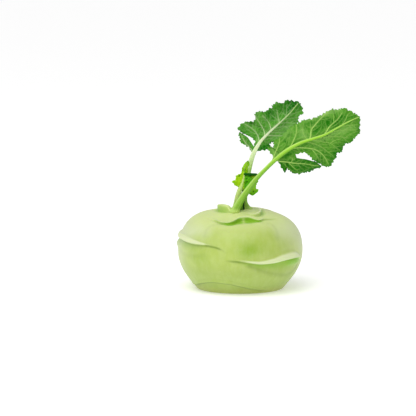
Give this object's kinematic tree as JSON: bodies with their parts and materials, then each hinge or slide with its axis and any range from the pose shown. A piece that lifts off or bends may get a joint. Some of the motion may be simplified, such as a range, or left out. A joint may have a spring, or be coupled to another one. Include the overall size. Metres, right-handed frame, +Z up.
{
  "type": "kohlrabi",
  "caption": "Whole kohlrabi as picked: a pale green swollen stem with leaf scars and a flat cut foot, carrying long-stalked toothed leaves and a heart of small young leaves.",
  "frame": {"origin": "centre of the flat cut foot the kohlrabi stands on", "axes": "+Z up along the swollen stem, +X towards the side its two large leaves lean to, -Y the front"},
  "size_m": [0.1309, 0.0926, 0.1361],
  "materials": {
    "bulb_skin": "waxy pale green skin of the swollen stem, with a faint bloom",
    "front_stalk": "fresh yellow-green leaf stalk and midrib, slightly shiny",
    "front_blade": "mid green leaf blade with raised veins, satin",
    "back_stalk": "pale green leaf stalk with a whitish midrib, slightly shiny",
    "back_blade": "green leaf blade with pale veins, satin",
    "heart_leaf": "tender yellow-green young leaves with darker tooth tips"
  },
  "bodies": {
    "root": {"bulb": "bulb_skin", "front_leaf_stalk": "front_stalk", "front_leaf_blade": "front_blade", "back_leaf_stalk": "back_stalk", "back_leaf_blade": "back_blade", "heart_leaf_left": "heart_leaf", "heart_leaf_top": "heart_leaf", "heart_leaf_right": "heart_leaf"}
  },
  "joints": []
}
